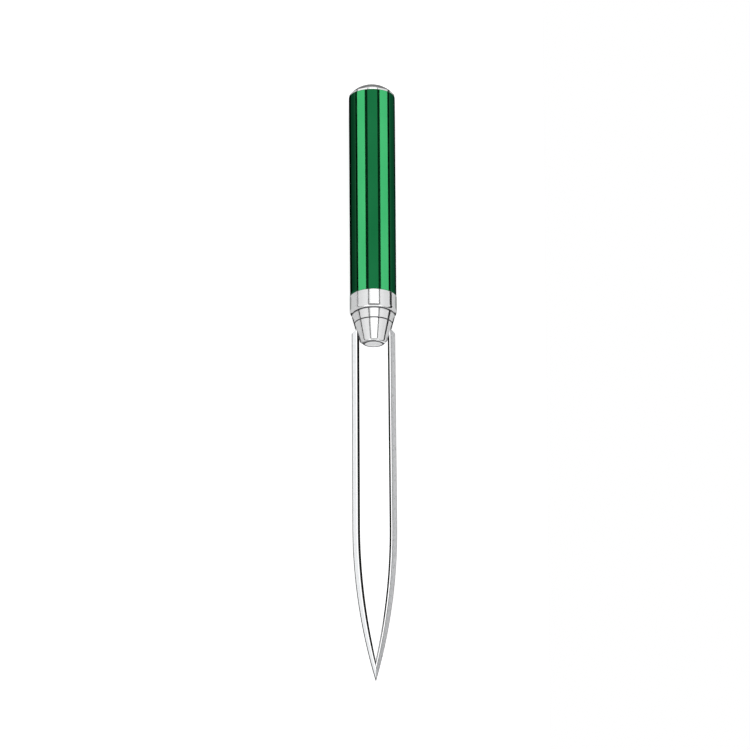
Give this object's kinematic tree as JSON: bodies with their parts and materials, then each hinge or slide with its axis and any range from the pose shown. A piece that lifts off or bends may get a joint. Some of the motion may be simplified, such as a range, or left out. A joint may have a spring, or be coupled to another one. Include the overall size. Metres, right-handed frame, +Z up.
{
  "type": "letter opener",
  "caption": "Letter opener with a long pointed steel blade, polished flat land and stepped bevels, set in a plated slotted nose on a round green tube handle with a domed end.",
  "frame": {"origin": "centre of the footprint on the table, with the opener lying on its ring", "axes": "+Y along the handle away from the blade, blade flat in XY, +Z up"},
  "size_m": [0.013, 0.1778, 0.0129],
  "materials": {
    "blade_steel": "mirror-polished land, fine lengthwise brushing on the bevels",
    "plating": "bright plated, polished",
    "green_lacquer": "translucent green lacquer over bright metal, glossy",
    "hidden_steel": "plain turned steel"
  },
  "bodies": {
    "root": {"blade": "blade_steel", "nose_cone": "plating", "ferrule_ring": "plating", "barrel": "green_lacquer", "end_cap": "plating", "end_plug": "plating", "tang_pin": "hidden_steel", "tie_screw": "hidden_steel"}
  },
  "joints": []
}
